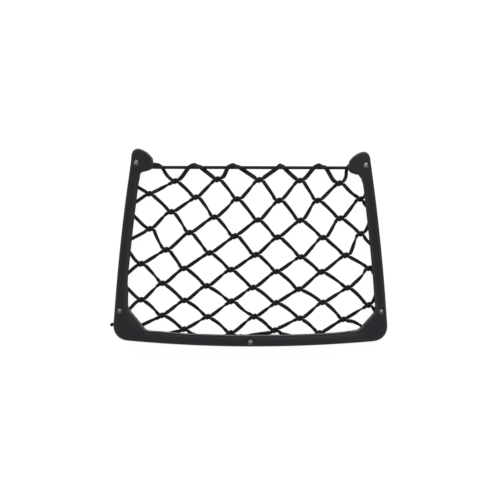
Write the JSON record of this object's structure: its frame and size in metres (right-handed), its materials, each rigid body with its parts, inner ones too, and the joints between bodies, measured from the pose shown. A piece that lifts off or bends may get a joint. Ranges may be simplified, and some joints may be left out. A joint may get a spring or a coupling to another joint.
{
  "type": "car mesh pocket",
  "caption": "Framed stow net: a stretched diamond-mesh elastic net in a moulded U-shaped frame, open at the top, screwed flat to a car panel.",
  "frame": {"origin": "under the middle of the pocket's outline, on the plane of the frame's back edges", "axes": "+X along the width to the right as seen from the front, +Y from the bottom bar to the open top, +Z out of the front"},
  "size_m": [0.3895, 0.278, 0.013],
  "materials": {
    "frame": "fine satin texture, charcoal",
    "net": "flat braided elastic, black",
    "edge_cord": "round braided elastic, black",
    "screw": "bright zinc plated"
  },
  "bodies": {
    "root": {"frame": "frame", "net": "net", "edge_cord": "edge_cord", "screw_ear_left": "screw", "screw_ear_right": "screw", "screw_side_left": "screw", "screw_side_right": "screw", "screw_bottom": "screw"}
  },
  "joints": []
}
